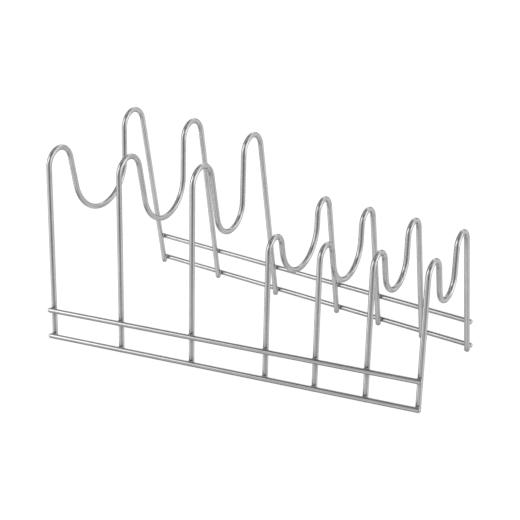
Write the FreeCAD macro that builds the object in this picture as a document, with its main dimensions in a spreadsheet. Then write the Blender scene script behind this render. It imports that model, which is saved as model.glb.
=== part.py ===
"""Pot lid rack: seven bent wires welded to four straight rails.

Each bent wire stands across the rack like a letter M. Its two legs lean in, turn over a hump and run
down into one wide valley. Three tall wires stand on the left and four short ones on the right. The
rack is deeper at its left end, so the front and rear rails draw together towards the right.

Frame: +X runs along the rack from the tall wires to the short ones, +Y points to the back and +Z up.
The origin is on the floor at the middle of the rack. Lengths are millimetres and angles degrees.
"""

import FreeCAD
import Part
import Sketcher

import math
import os

V = FreeCAD.Vector

# The driving dimensions: name, value, what it sets.
SIZES = (
    ("pitch_wide", 73.0, "gap from wire to wire on the tall side, centre to centre"),
    ("pitch_narrow", 47.0, "gap from wire to wire on the short side, centre to centre"),
    ("half_depth_left", 92.3, "leg from the middle plane at weld height, first wire"),
    ("half_depth_right", 55.6, "the same at the last wire"),
    ("wire_diameter", 5.0, "the bent wires"),
    ("rail_diameter", 4.6, "the straight rails"),
    ("rail_low", 4.8, "height of the lower rails' centre line"),
    ("rail_high", 31.0, "height of the upper rails' centre line"),
    ("rail_overhang", 3.6, "rail past the centre of the outermost wires"),
    ("tall_height", 185.5, "top of a tall wire's humps"),
    ("short_height", 133.0, "top of a short wire's humps"),
    ("tall_valley", 107.2, "upper side of a tall wire at the bottom of its valley"),
    ("short_valley", 84.5, "upper side of a short wire at the bottom of its valley"),
    ("tall_hump_radius", 16.0, "bend over a tall hump, on the centre line"),
    ("short_hump_radius", 12.0, "bend over a short hump, on the centre line"),
    ("leg_lean", 6.6, "legs from the vertical"),
    ("second_rear_lean", 5.6, "rear leg of the second wire, which was bent a little wide"),
    ("inner_lean", 7.2, "sides of the valley from the vertical"),
    ("weld_setdown", 0.4, "how far a rail is pressed into a leg at each weld"),
    ("collar_radius", 2.9, "squeezed-out metal round each weld"),
    ("foot_round", 1.8, "rounding of the feet"),
    ("rail_end_round", 1.7, "rounding of the rail ends"),
)
FOOT_ALLOWANCE = 4.0  # wire below the floor line, trimmed off level afterwards
M_PIECES = 7  # of a bent wire's centre line: leg, hump, side, valley, side, hump, leg
FLAT = 1e-4  # an edge thinner than this along an axis lies in a plane across it

# The bent wires from left to right: kind, and the size that gives the lean of the rear leg. The gap to
# the right of a tall wire is wide and the others are narrow.
WIRES = (
    ("tall", "leg_lean"),
    ("tall", "second_rear_lean"),
    ("tall", "leg_lean"),
    ("short", "leg_lean"),
    ("short", "leg_lean"),
    ("short", "leg_lean"),
    ("short", "leg_lean"),
)

size = {name: value for name, value, _ in SIZES}


def add_sizes(doc):
    """The sheet of driving dimensions: one named cell for each."""
    sheet = doc.addObject("Spreadsheet::Sheet", "Sizes")
    for row, (name, value, meaning) in enumerate(SIZES, start=1):
        sheet.set(f"A{row}", name)
        sheet.set(f"B{row}", str(value))
        sheet.setAlias(f"B{row}", name)
        sheet.set(f"C{row}", meaning)
    doc.recompute()
    return sheet


def row(index):
    """The distance along X from the first bent wire to wire number index, counted from 0."""
    wide = sum(kind == "tall" for kind, _ in WIRES[:index])
    return f"({wide} * Sizes.pitch_wide + {index - wide} * Sizes.pitch_narrow)"


# Places that follow from the sheet, as expressions: the row of wires and the rails' line.
ROW_LENGTH = row(len(WIRES) - 1)
WELD_HEIGHT = "((Sizes.rail_low + Sizes.rail_high) / 2)"
TAPER = f"atan((Sizes.half_depth_right - Sizes.half_depth_left) / {ROW_LENGTH})"
AXIS_GAP = "((Sizes.wire_diameter + Sizes.rail_diameter) / 2 - Sizes.weld_setdown)"
RAIL_OFFSET = f"({AXIS_GAP} / (cos(Sizes.leg_lean) * cos({TAPER})))"


def station(index):
    """Where bent wire number index stands along X."""
    return f"({row(index)} - {ROW_LENGTH} / 2)"


def half_depth(x):
    """A leg's distance from the middle plane at weld height, where x is a place along the rack."""
    slope = f"(Sizes.half_depth_right - Sizes.half_depth_left) / {ROW_LENGTH}"
    return f"(Sizes.half_depth_left + {slope} * ({x} + {ROW_LENGTH} / 2))"


def rail_distance(x, height):
    """A rail's distance from the middle plane at x, where height is the sheet's name for its height."""
    drop = f"(Sizes.{height} - {WELD_HEIGHT}) * tan(Sizes.leg_lean)"
    return f"({half_depth(x)} + {RAIL_OFFSET} - {drop})"


def evaluate(doc, expression):
    """The number that an expression gives for the sheet as it stands."""
    return float(FreeCAD.Units.Quantity(doc.Sizes.evalExpression(expression)))


def plane_of(body, role):
    """One of a body's own origin planes."""
    return next(f for f in body.Origin.OriginFeatures if f.Role == role)


def new_sketch(body, name, role):
    sketch = body.newObject("Sketcher::SketchObject", name)
    sketch.AttachmentSupport = [(plane_of(body, role), "")]
    sketch.MapMode = "FlatFace"
    return sketch


def bind(sketch, name, constraint, expression):
    """Adds a dimension to a sketch and ties it to the sheet."""
    index = sketch.addConstraint(constraint)
    sketch.renameConstraint(index, name)
    sketch.setExpression(f"Constraints.{name}", expression)


def centre_line(depth, lean_front, lean_rear, inner, top, bend, valley, weld):
    """Where an M-shaped centre line turns: hump centres, valley centre and radius, in (y, z).

    depth is where both legs pass the height weld, top and valley are centre-line heights, and bend is
    the hump's radius. The valley's arc is the one that touches both of its sides at that height.
    """
    rise = top - bend
    humps = []
    for side, lean in ((-1, lean_front), (1, lean_rear)):
        reach = depth - (rise - weld) * math.tan(lean) - bend / math.cos(lean)
        humps.append(V(side * reach, rise))
    sine, cosine = math.sin(inner), math.cos(inner)
    # how far each valley side lies from the origin, measured across the side
    front = cosine * humps[0].x + sine * rise + bend
    rear = -cosine * humps[1].x + sine * rise + bend
    middle = (front - rear) / (2 * cosine)
    radius = (valley * sine - (front + rear) / 2) / (1 - sine)
    return humps, V(middle, valley + radius), radius


def polar(centre, radius, angle):
    return centre + V(radius * math.cos(angle), radius * math.sin(angle))


def arc(centre, radius, start, end):
    return Part.ArcOfCircle(Part.Circle(centre, V(0, 0, 1), radius), start, end)


def draw_centre_line(body, doc, index, kind, rear_lean):
    """The bent wire's centre line, a sketch across the rack: leg, hump, side, valley, side, hump, leg."""
    depth = half_depth(station(index))
    lean = math.radians(size["leg_lean"])
    back_lean = math.radians(size[rear_lean])
    inner = math.radians(size["inner_lean"])
    bend = size[f"{kind}_hump_radius"]
    top = size[f"{kind}_height"] - size["wire_diameter"] / 2
    valley = size[f"{kind}_valley"] - size["wire_diameter"] / 2
    weld = evaluate(doc, WELD_HEIGHT)
    reach = evaluate(doc, depth)
    humps, low, radius = centre_line(reach, lean, back_lean, inner, top, bend, valley, weld)

    def foot(side, angle):
        return V(side * (reach + (weld + FOOT_ALLOWANCE) * math.tan(angle)), -FOOT_ALLOWANCE)

    pi = math.pi
    front_top = polar(humps[0], bend, pi - lean)
    front_inner = polar(humps[0], bend, inner)
    rear_inner = polar(humps[1], bend, pi - inner)
    rear_top = polar(humps[1], bend, back_lean)
    valley_front = polar(low, radius, pi + inner)
    valley_rear = polar(low, radius, 2 * pi - inner)

    sketch = new_sketch(body, f"{body.Name}_centre_line", "YZ_Plane")
    leg_f, hump_f, side_f, dip, side_r, hump_r, leg_r = sketch.addGeometry(
        [
            Part.LineSegment(foot(-1, lean), front_top),
            arc(humps[0], bend, inner, pi - lean),
            Part.LineSegment(front_inner, valley_front),
            arc(low, radius, pi + inner, 2 * pi - inner),
            Part.LineSegment(valley_rear, rear_inner),
            arc(humps[1], bend, back_lean, pi - inner),
            Part.LineSegment(rear_top, foot(1, back_lean)),
        ]
    )
    weld_f, weld_r, bottom = sketch.addGeometry(
        [Part.Point(V(-reach, weld)), Part.Point(V(reach, weld)), Part.Point(V(low.x, valley))],
        True,
    )
    start, end, centre, origin = 1, 2, 3, (-1, 1)
    add = Sketcher.Constraint
    smooth_joints = (
        (leg_f, end, hump_f, end),
        (hump_f, start, side_f, start),
        (side_f, end, dip, start),
        (dip, end, side_r, start),
        (side_r, end, hump_r, end),
        (hump_r, start, leg_r, start),
    )
    for joint in smooth_joints:
        sketch.addConstraint(add("Tangent", *joint))

    for point, leg in ((weld_f, leg_f), (weld_r, leg_r)):
        sketch.addConstraint(add("PointOnObject", point, start, leg))
    sketch.addConstraint(add("PointOnObject", bottom, start, dip))
    sketch.addConstraint(add("Vertical", bottom, start, dip, centre))
    sketch.addConstraint(add("Horizontal", hump_f, centre, hump_r, centre))
    sketch.addConstraint(add("Equal", hump_f, hump_r))

    half_wire = "Sizes.wire_diameter / 2"
    hump_rise = f"Sizes.{kind}_height - {half_wire} - Sizes.{kind}_hump_radius"
    steep_out = "90 - Sizes.leg_lean"
    steep_back = f"90 - Sizes.{rear_lean}"
    steep_in = "90 - Sizes.inner_lean"
    right_angle = pi / 2
    dimensions = (
        ("weld_height", add("DistanceY", *origin, weld_f, start, weld), WELD_HEIGHT),
        ("weld_height_rear", add("DistanceY", *origin, weld_r, start, weld), WELD_HEIGHT),
        ("front_depth", add("DistanceX", weld_f, start, *origin, reach), depth),
        ("rear_depth", add("DistanceX", *origin, weld_r, start, reach), depth),
        ("front_leg", add("Angle", leg_f, right_angle - lean), steep_out),
        ("rear_leg", add("Angle", leg_r, back_lean - right_angle), f"-({steep_back})"),
        ("front_side", add("Angle", side_f, inner - right_angle), f"-({steep_in})"),
        ("rear_side", add("Angle", side_r, right_angle - inner), steep_in),
        ("hump_radius", add("Radius", hump_f, bend), f"Sizes.{kind}_hump_radius"),
        ("hump_rise", add("DistanceY", *origin, hump_f, centre, top - bend), hump_rise),
        (
            "valley_height",
            add("DistanceY", *origin, bottom, start, valley),
            f"Sizes.{kind}_valley - {half_wire}",
        ),
    )
    for name, constraint, expression in dimensions:
        bind(sketch, name, constraint, expression)
    for leg, near in ((leg_f, start), (leg_r, end)):
        sketch.addConstraint(add("DistanceY", leg, near, *origin, FOOT_ALLOWANCE))
    return sketch


def add_pipe(body, path):
    """Round wire of the sheet's diameter along a path of the body."""
    section = body.newObject("Sketcher::SketchObject", f"{body.Name}_section")
    section.AttachmentSupport = [(path, "Edge1")]
    section.MapMode = "NormalToEdge"
    section.MapPathParameter = 0.0
    circle = Part.Circle(V(0, 0, 0), V(0, 0, 1), size["wire_diameter"] / 2)
    ring = section.addGeometry(circle)
    section.addConstraint(Sketcher.Constraint("Coincident", ring, 3, -1, 1))
    diameter = Sketcher.Constraint("Diameter", ring, size["wire_diameter"])
    bind(section, "diameter", diameter, "Sizes.wire_diameter")
    pipe = body.newObject("PartDesign::AdditivePipe", f"{body.Name}_wire")
    pipe.Profile = section
    pipe.Spine = (path, [f"Edge{n}" for n in range(1, M_PIECES + 1)])
    pipe.Mode = "Frenet"
    return pipe


def trim_feet(body, doc):
    """Cuts both legs level with the floor and rounds the edge of each foot."""
    before = body.Shape.Volume
    sketch = new_sketch(body, f"{body.Name}_floor", "XY_Plane")
    reach = 2 * (size["half_depth_left"] + size["half_depth_right"])
    corners = (V(-reach, -reach), V(reach, -reach), V(reach, reach), V(-reach, reach))
    sides = [Part.LineSegment(corners[k], corners[(k + 1) % 4]) for k in range(4)]
    lines = sketch.addGeometry(sides)
    for k in range(4):
        joint = Sketcher.Constraint("Coincident", lines[k], 2, lines[(k + 1) % 4], 1)
        sketch.addConstraint(joint)
    cut = body.newObject("PartDesign::Pocket", f"{body.Name}_level_cut")
    cut.Profile = sketch
    cut.Type = "Length"
    cut.Length = 2 * FOOT_ALLOWANCE
    cut.Reversed = False
    doc.recompute()
    if body.Shape.Volume >= before:
        raise RuntimeError(f"{body.Name}: the level cut took nothing off")

    on_floor = [
        f"Edge{n}"
        for n, edge in enumerate(body.Shape.Edges, start=1)
        if abs(edge.BoundBox.ZMin) < FLAT and edge.BoundBox.ZLength < FLAT
    ]
    rounding = body.newObject("PartDesign::Fillet", f"{body.Name}_foot_round")
    rounding.Base = (cut, on_floor)
    rounding.setExpression("Radius", "Sizes.foot_round")
    doc.recompute()


def add_collars(body, index):
    """The metal squeezed out round the four welds, before the rails press their seats into it."""
    x = station(index)
    inward = "(Sizes.rail_diameter / 2 - Sizes.weld_setdown / 2)"
    for height in ("rail_low", "rail_high"):
        for side, where in ((-1, "front"), (1, "rear")):
            collar = body.newObject("PartDesign::AdditiveSphere", f"{body.Name}_{where}_{height}")
            distance = f"({rail_distance(x, height)} - {inward} * cos(Sizes.leg_lean))"
            drop = f"{inward} * sin(Sizes.leg_lean)"
            collar.setExpression("Radius", "Sizes.collar_radius")
            collar.setExpression("Placement.Base.y", f"{side} * {distance}")
            collar.setExpression("Placement.Base.z", f"Sizes.{height} - {drop}")


def make_bent_wire(doc, label, index, kind, rear_lean, rails):
    """One M-shaped wire at its station, with its welds seated on the rails."""
    body = doc.addObject("PartDesign::Body", f"{label}_bent")
    body.setExpression("Placement.Base.x", station(index))
    path = draw_centre_line(body, doc, index, kind, rear_lean)
    doc.recompute()
    add_pipe(body, path)
    doc.recompute()
    trim_feet(body, doc)
    add_collars(body, index)
    doc.recompute()
    seated = doc.addObject("Part::Cut", label)
    seated.Label = label
    seated.Base = body
    seated.Tool = rails
    return seated


def make_rail(doc, label, side, height):
    """One straight rail with rounded ends. Its own X axis runs along it from the left end."""
    body = doc.addObject("PartDesign::Body", label)
    body.Label = label
    sketch = new_sketch(body, f"{label}_section", "YZ_Plane")
    ring = sketch.addGeometry(Part.Circle(V(0, 0, 0), V(0, 0, 1), size["rail_diameter"] / 2))
    sketch.addConstraint(Sketcher.Constraint("Coincident", ring, 3, -1, 1))
    diameter = Sketcher.Constraint("Diameter", ring, size["rail_diameter"])
    bind(sketch, "diameter", diameter, "Sizes.rail_diameter")
    pad = body.newObject("PartDesign::Pad", f"{label}_bar")
    pad.Profile = sketch
    span = f"({ROW_LENGTH} + 2 * Sizes.rail_overhang)"
    pad.setExpression("Length", f"{span} / cos({TAPER})")
    doc.recompute()
    ends = [
        f"Edge{n}"
        for n, edge in enumerate(body.Shape.Edges, start=1)
        if edge.BoundBox.XLength < FLAT
    ]
    rounding = body.newObject("PartDesign::Fillet", f"{label}_end_round")
    rounding.Base = (pad, ends)
    rounding.setExpression("Radius", "Sizes.rail_end_round")

    left_end = f"(-{ROW_LENGTH} / 2 - Sizes.rail_overhang)"
    # a first turn about Z, so that the yaw below has its axis
    body.Placement = FreeCAD.Placement(V(0, 0, 0), FreeCAD.Rotation(V(0, 0, 1), 1.0))
    body.setExpression("Placement.Base.x", left_end)
    body.setExpression("Placement.Base.y", f"{side} * {rail_distance(left_end, height)}")
    body.setExpression("Placement.Base.z", f"Sizes.{height}")
    body.setExpression("Placement.Rotation.Yaw", f"{side} * {TAPER}")
    doc.recompute()
    return body


def make_rack(doc):
    """Every piece of the rack, in the order it would be put together."""
    add_sizes(doc)
    rails = [
        make_rail(doc, "front_upper_rail", -1, "rail_high"),
        make_rail(doc, "front_lower_rail", -1, "rail_low"),
        make_rail(doc, "rear_upper_rail", 1, "rail_high"),
        make_rail(doc, "rear_lower_rail", 1, "rail_low"),
    ]
    all_rails = doc.addObject("Part::Compound", "all_rails")
    all_rails.Links = rails
    doc.recompute()
    wires = []
    for index, (kind, rear_lean) in enumerate(WIRES):
        number = 1 + sum(other == kind for other, _ in WIRES[:index])
        label = f"{kind}_wire_{number}"
        wires.append(make_bent_wire(doc, label, index, kind, rear_lean, all_rails))
    doc.recompute()
    return rails + wires


def check(doc, pieces):
    """Stops if any feature failed, or a piece isn't one valid solid."""
    for item in doc.Objects:
        failed = {"Invalid", "Error"} & set(item.State)
        if failed:
            raise RuntimeError(f"{item.Name} is in state {sorted(failed)}")
    for piece in pieces:
        shape = piece.Shape
        if shape.isNull() or not shape.isValid() or len(shape.Solids) != 1:
            raise RuntimeError(f"{piece.Label} is not one valid solid")


def main():
    doc = FreeCAD.newDocument("pot_lid_rack")
    pieces = make_rack(doc)
    check(doc, pieces)
    os.makedirs("parts", exist_ok=True)
    for piece in pieces:
        piece.Shape.exportStep(f"parts/{piece.Label}.step")
        box = piece.Shape.optimalBoundingBox()
        print(
            f"{piece.Label}: {piece.Shape.Volume:.1f} mm3, "
            f"x {box.XMin:.1f} to {box.XMax:.1f}, y {box.YMin:.1f} to {box.YMax:.1f}, "
            f"z {box.ZMin:.2f} to {box.ZMax:.2f}"
        )


main()
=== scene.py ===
"""The pot lid rack in its satin plating, on a white sweep between two soft boxes.

Azimuths here are compass-like, seen from above: 0 is +Y, the back of the rack, and 90 is +X.
"""

import bpy
import math
from mathutils import Matrix, Vector

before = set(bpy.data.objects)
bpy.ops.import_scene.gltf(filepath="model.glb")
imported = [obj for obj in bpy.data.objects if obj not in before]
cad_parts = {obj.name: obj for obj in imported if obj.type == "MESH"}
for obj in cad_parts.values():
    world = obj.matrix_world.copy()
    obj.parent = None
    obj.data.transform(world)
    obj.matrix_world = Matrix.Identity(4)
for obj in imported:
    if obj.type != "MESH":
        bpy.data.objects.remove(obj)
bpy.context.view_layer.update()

# The camera, worked out from where the wires and rails cross in the picture.
CAMERA_PLACE = Vector((0.50277, -0.85597, 0.56049))
CAMERA_YAW = math.radians(-30.630)
CAMERA_PITCH = math.radians(25.789)
CAMERA_ROLL = math.radians(-2.131)
SENSOR_WIDTH = 36.0
FOCAL_PIXELS = 1191.065
PICTURE_SIDE = 520

# The plating, in linear light.
PLATE_COLOUR = (0.485, 0.485, 0.485)
PLATE_EDGE = (0.80, 0.80, 0.80)
PLATE_ROUGHNESS = 0.20
# It is a little uneven from place to place. Each pair says how strong the noise is, and what the colour is
# multiplied by there.
CLOUDS_PER_METRE = 60.0
CLOUD_DETAIL = 3.0
CLOUD_TONES = ((0.3, 0.94), (0.7, 1.06))
# Its fine grain: how far the roughness goes up and down, and how strong and deep the bumps are.
GRAINS_PER_METRE = 2500.0
GRAIN_DETAIL = 2.0
GRAIN_ROUGHNESS = 0.05
GRAIN_STRENGTH = 0.05
GRAIN_DEPTH = 0.0001
# Painted shade: the colour is darkened in the creases at the welds and feet, and where the wire lies close
# to the floor. The constants give how far that reaches, in metres, and what is left of the colour in the
# deepest ones.
PAINTED_SHADE_REACH = 0.007
PAINTED_SHADE_SHARE = 0.3
PAINTED_SHADE_SAMPLES = 8

# The studio. Levels are linear, and 1 is white.
STUDIO_CENTRE = Vector((0.0, 0.0, 0.08))
FLOOR_REACH = 6.0
FLOOR_COLOUR = (0.8, 0.8, 0.8, 1.0)
# To the camera, this share of the floor is a white of its own. The rest is lit, and takes the shadow.
FLOOR_WHITE_SHARE = 0.85
FLOOR_WHITE = 1.14

# The lamps: azimuth, elevation, width and height in metres, and how bright the face looks.
LAMP_DISTANCE = 1.7
SOFT_BOXES = {
    "left_soft_box": (-136, 31, 0.95, 1.2, 1.7),
    "right_soft_box": (75, 12, 1.35, 1.1, 1.15),
}

# What the metal sees round it: azimuth, elevation, half the width, half the height, level. Later ones lie
# over earlier ones, and their edges are soft. Outside these the room is as light as ROOM_LEVEL.
ROOM_LEVEL = 0.8
ROOM_PARTS = (
    # Behind the rack, and under it
    (50, -10, 50, 45, 0.92),
    (-70, -50, 60, 40, 0.64),
    (-18, -20, 22, 32, 0.40),
    (21, -12, 7, 14, 1.25),
    (46, 30, 10, 12, 1.35),
    (42, -54, 14, 12, 1.15),
    (15, -76, 50, 6, 1.00),
    (-46, -62, 22, 14, 0.96),
    (-40, 45, 25, 12, 0.48),
    (-28, 10, 3, 18, 1.90),
    (-6, 33, 18, 10, 1.45),
    # At the left, and above
    (-92, 36, 20, 16, 0.48),
    (-86, 14, 20, 12, 0.28),
    (-100, 60, 90, 10, 0.40),
    (-102, 59, 22, 6, 0.75),
    (-62, 72, 90, 8, 0.24),
    (-60, 67, 26, 9, 0.04),
    (135, 58, 50, 14, 0.17),
    # In front
    (-145, -60, 22, 14, 0.30),
    (-135, -24, 20, 8, 0.40),
    (-146, 0, 5, 13, 1.20),
    (-172, 18, 6, 14, 0.55),
    (-175, -3, 7, 18, 1.10),
    (178, -34, 8, 12, 1.50),
    # At the right
    (78, -16, 18, 15, 1.35),
    (110, -20, 9, 18, 0.60),
    # Low down at the left
    (-119, -17, 12, 19, 2.15),
    (-72, -17, 22, 8, 0.14),
    # In front at the right
    (148, 7, 23, 25, 0.20),
    (150, -28, 20, 6, 1.10),
)
ROOM_SOFTNESS = 10.0


def towards(azimuth, elevation):
    """Unit vector for an azimuth and an elevation in degrees."""
    a, e = math.radians(azimuth), math.radians(elevation)
    return Vector((math.sin(a) * math.cos(e), math.cos(a) * math.cos(e), math.sin(e)))


def add_camera():
    """Stands the camera where the picture was taken from, with the picture's field of view."""
    forward = Vector(
        (
            math.sin(CAMERA_YAW) * math.cos(CAMERA_PITCH),
            math.cos(CAMERA_YAW) * math.cos(CAMERA_PITCH),
            -math.sin(CAMERA_PITCH),
        )
    )
    level_right = Vector((math.cos(CAMERA_YAW), -math.sin(CAMERA_YAW), 0.0))
    level_up = level_right.cross(forward)
    right = math.cos(CAMERA_ROLL) * level_right + math.sin(CAMERA_ROLL) * level_up
    up = math.cos(CAMERA_ROLL) * level_up - math.sin(CAMERA_ROLL) * level_right
    data = bpy.data.cameras.new("camera")
    data.sensor_width = SENSOR_WIDTH
    data.lens = FOCAL_PIXELS * SENSOR_WIDTH / PICTURE_SIDE
    camera = bpy.data.objects.new("camera", data)
    turn = Matrix((right, up, -forward)).transposed()
    camera.matrix_world = Matrix.Translation(CAMERA_PLACE) @ turn.to_4x4()
    bpy.context.scene.collection.objects.link(camera)
    bpy.context.scene.camera = camera


def facing_matrix(place, target):
    """Stands something at place with its own -Z towards target and its Y upwards."""
    turn = (target - place).to_track_quat("-Z", "Y")
    return Matrix.Translation(place) @ turn.to_matrix().to_4x4()


def add_soft_box(name, azimuth, elevation, width, height, radiance):
    """A rectangular lamp, given by how bright its face looks."""
    data = bpy.data.lights.new(name, "AREA")
    data.shape = "RECTANGLE"
    data.size = width
    data.size_y = height
    data.energy = radiance * math.pi * width * height
    lamp = bpy.data.objects.new(name, data)
    place = STUDIO_CENTRE + LAMP_DISTANCE * towards(azimuth, elevation)
    lamp.matrix_world = facing_matrix(place, STUDIO_CENTRE)
    lamp.visible_camera = False
    bpy.context.scene.collection.objects.link(lamp)


def feed(links, socket, value):
    """Sets an input to a number, or links it to another node's output."""
    if isinstance(value, (int, float)):
        socket.default_value = value
    else:
        links.new(value, socket)


def calculate(nodes, links, operation, *values):
    """A Math node of the given operation. Each value is a number or a socket."""
    node = nodes.new("ShaderNodeMath")
    node.operation = operation
    for socket, value in zip(node.inputs, values):
        feed(links, socket, value)
    return node.outputs[0]


def blended(nodes, links, share, first, second):
    """A level between two others; share is how much of the second."""
    node = nodes.new("ShaderNodeMix")
    factor, _, level_a, level_b = node.inputs[:4]
    feed(links, factor, share)
    feed(links, level_a, first)
    feed(links, level_b, second)
    return node.outputs[0]


def mixed(nodes, links, share, first, second):
    """Mixes two shaders; share is how much of the second, a number or a socket."""
    mix = nodes.new("ShaderNodeMixShader")
    feed(links, mix.inputs["Fac"], share)
    links.new(first.outputs[0], mix.inputs[1])
    links.new(second.outputs[0], mix.inputs[2])
    return mix


def within(nodes, links, angle, middle, half):
    """1 where an angle lies within half of the middle, fading to 0 over the room's softness."""
    apart = calculate(nodes, links, "SUBTRACT", angle, middle)
    round_trip = calculate(nodes, links, "WRAP", apart, 180.0, -180.0)
    distance = calculate(nodes, links, "ABSOLUTE", round_trip)
    fade = nodes.new("ShaderNodeMapRange")
    fade.interpolation_type = "SMOOTHSTEP"
    fade.inputs["From Min"].default_value = half + ROOM_SOFTNESS / 2
    fade.inputs["From Max"].default_value = half - ROOM_SOFTNESS / 2
    links.new(distance, fade.inputs["Value"])
    return fade.outputs["Result"]


def room_level(nodes, links):
    """How bright the room is in the direction that a reflected ray takes."""
    place = nodes.new("ShaderNodeTexCoord")
    parts = nodes.new("ShaderNodeSeparateXYZ")
    links.new(place.outputs["Generated"], parts.inputs[0])
    x, y, z = parts.outputs
    azimuth = calculate(nodes, links, "DEGREES", calculate(nodes, links, "ARCTAN2", x, y))
    elevation = calculate(nodes, links, "DEGREES", calculate(nodes, links, "ARCSINE", z))
    level = ROOM_LEVEL
    for part_azimuth, part_elevation, half_width, half_height, part_level in ROOM_PARTS:
        across = within(nodes, links, azimuth, part_azimuth, half_width)
        upwards = within(nodes, links, elevation, part_elevation, half_height)
        inside = calculate(nodes, links, "MULTIPLY", across, upwards)
        level = blended(nodes, links, inside, level, part_level)
    return level


def add_room():
    """White to the camera, and for the light that it gives a room with lighter and darker parts."""
    world = bpy.data.worlds.new("room")
    world.use_nodes = True
    bpy.context.scene.world = world
    nodes, links = world.node_tree.nodes, world.node_tree.links
    nodes.clear()
    path = nodes.new("ShaderNodeLightPath")
    shown = calculate(
        nodes, links, "MAXIMUM", path.outputs["Is Camera Ray"], path.outputs["Is Transmission Ray"]
    )
    level = blended(nodes, links, shown, room_level(nodes, links), 1.0)
    room = nodes.new("ShaderNodeBackground")
    room.inputs["Color"].default_value = (1.0, 1.0, 1.0, 1.0)
    links.new(level, room.inputs["Strength"])
    output = nodes.new("ShaderNodeOutputWorld")
    links.new(room.outputs[0], output.inputs["Surface"])


def new_material(name):
    """An empty material, with its nodes, its links and its output."""
    material = bpy.data.materials.new(name)
    material.use_nodes = True
    nodes = material.node_tree.nodes
    nodes.clear()
    output = nodes.new("ShaderNodeOutputMaterial")
    return material, nodes, material.node_tree.links, output


def white_sweep():
    """Lit paper that shows mostly white to the camera, and is clear from below."""
    material, nodes, links, output = new_material("white_sweep")
    paper = nodes.new("ShaderNodeBsdfDiffuse")
    paper.inputs["Color"].default_value = FLOOR_COLOUR
    white = nodes.new("ShaderNodeEmission")
    white.inputs["Strength"].default_value = FLOOR_WHITE
    path = nodes.new("ShaderNodeLightPath")
    shown = mixed(nodes, links, FLOOR_WHITE_SHARE, paper, white)
    topside = mixed(nodes, links, path.outputs["Is Camera Ray"], paper, shown)
    face = nodes.new("ShaderNodeNewGeometry")
    clear = nodes.new("ShaderNodeBsdfTransparent")
    final = mixed(nodes, links, face.outputs["Backfacing"], topside, clear)
    links.new(final.outputs[0], output.inputs["Surface"])
    return material


def add_floor():
    """The white sweep under the rack, with the rack's soft shadow left in it."""
    reach = FLOOR_REACH
    corners = ((-reach, -reach, 0), (reach, -reach, 0), (reach, reach, 0), (-reach, reach, 0))
    mesh = bpy.data.meshes.new("floor")
    mesh.from_pydata(corners, [], [(0, 1, 2, 3)])
    floor = bpy.data.objects.new("floor", mesh)
    bpy.context.scene.collection.objects.link(floor)
    floor.visible_glossy = False
    mesh.materials.append(white_sweep())


def noise(nodes, links, place, scale, detail):
    """A soft random pattern on the surface, between 0 and 1."""
    node = nodes.new("ShaderNodeTexNoise")
    node.inputs["Scale"].default_value = scale
    node.inputs["Detail"].default_value = detail
    links.new(place, node.inputs["Vector"])
    return node.outputs["Fac"]


def clouded_colour(nodes, links, place):
    """The plating's colour, a little darker and lighter from place to place."""
    cloud = noise(nodes, links, place, CLOUDS_PER_METRE, CLOUD_DETAIL)
    colour = nodes.new("ShaderNodeValToRGB")
    for stop, (strength, tone) in zip(colour.color_ramp.elements, CLOUD_TONES):
        stop.position = strength
        stop.color = (*(tone * c for c in PLATE_COLOUR), 1.0)
    links.new(cloud, colour.inputs["Fac"])
    return colour.outputs["Color"]


def with_painted_crease_shade(nodes, links, colour):
    """The given colour with painted shade, darker where one piece lies close to another or to the floor.
    """
    occlusion = nodes.new("ShaderNodeAmbientOcclusion")
    occlusion.samples = PAINTED_SHADE_SAMPLES
    occlusion.inputs["Distance"].default_value = PAINTED_SHADE_REACH
    left = nodes.new("ShaderNodeMapRange")
    left.inputs["To Min"].default_value = PAINTED_SHADE_SHARE
    links.new(occlusion.outputs["AO"], left.inputs["Value"])
    shaded_colour = nodes.new("ShaderNodeVectorMath")
    shaded_colour.operation = "SCALE"
    links.new(colour, shaded_colour.inputs[0])
    links.new(left.outputs["Result"], shaded_colour.inputs["Scale"])
    return shaded_colour.outputs[0]


def add_grain(nodes, links, place, shader):
    """The same fine grain in the shader's roughness and in its bumps."""
    grain = noise(nodes, links, place, GRAINS_PER_METRE, GRAIN_DETAIL)
    rough = nodes.new("ShaderNodeMapRange")
    rough.inputs["To Min"].default_value = PLATE_ROUGHNESS - GRAIN_ROUGHNESS
    rough.inputs["To Max"].default_value = PLATE_ROUGHNESS + GRAIN_ROUGHNESS
    links.new(grain, rough.inputs["Value"])
    links.new(rough.outputs["Result"], shader.inputs["Roughness"])
    bump = nodes.new("ShaderNodeBump")
    bump.inputs["Strength"].default_value = GRAIN_STRENGTH
    bump.inputs["Distance"].default_value = GRAIN_DEPTH
    links.new(grain, bump.inputs["Height"])
    links.new(bump.outputs["Normal"], shader.inputs["Normal"])


def satin_plate():
    """Satin nickel-coloured plating over drawn wire."""
    material, nodes, links, output = new_material("satin_plate_finish")
    shader = nodes.new("ShaderNodeBsdfPrincipled")
    shader.inputs["Metallic"].default_value = 1.0
    shader.inputs["Specular Tint"].default_value = (*PLATE_EDGE, 1.0)
    place = nodes.new("ShaderNodeTexCoord").outputs["Object"]
    # The base colour carries painted shade, darker in the creases and near the floor.
    colour = with_painted_crease_shade(nodes, links, clouded_colour(nodes, links, place))
    links.new(colour, shader.inputs["Base Color"])
    add_grain(nodes, links, place, shader)
    links.new(shader.outputs[0], output.inputs["Surface"])
    return material


def dress_nodes():
    """The whole rack is plated after welding, so all its pieces share one finish."""
    plate = satin_plate()
    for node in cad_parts.values():
        node.data.materials.clear()
        node.data.materials.append(plate)


bpy.context.scene.view_settings.view_transform = "Standard"
add_camera()
add_room()
add_floor()
for box_name, box in SOFT_BOXES.items():
    add_soft_box(box_name, *box)
dress_nodes()
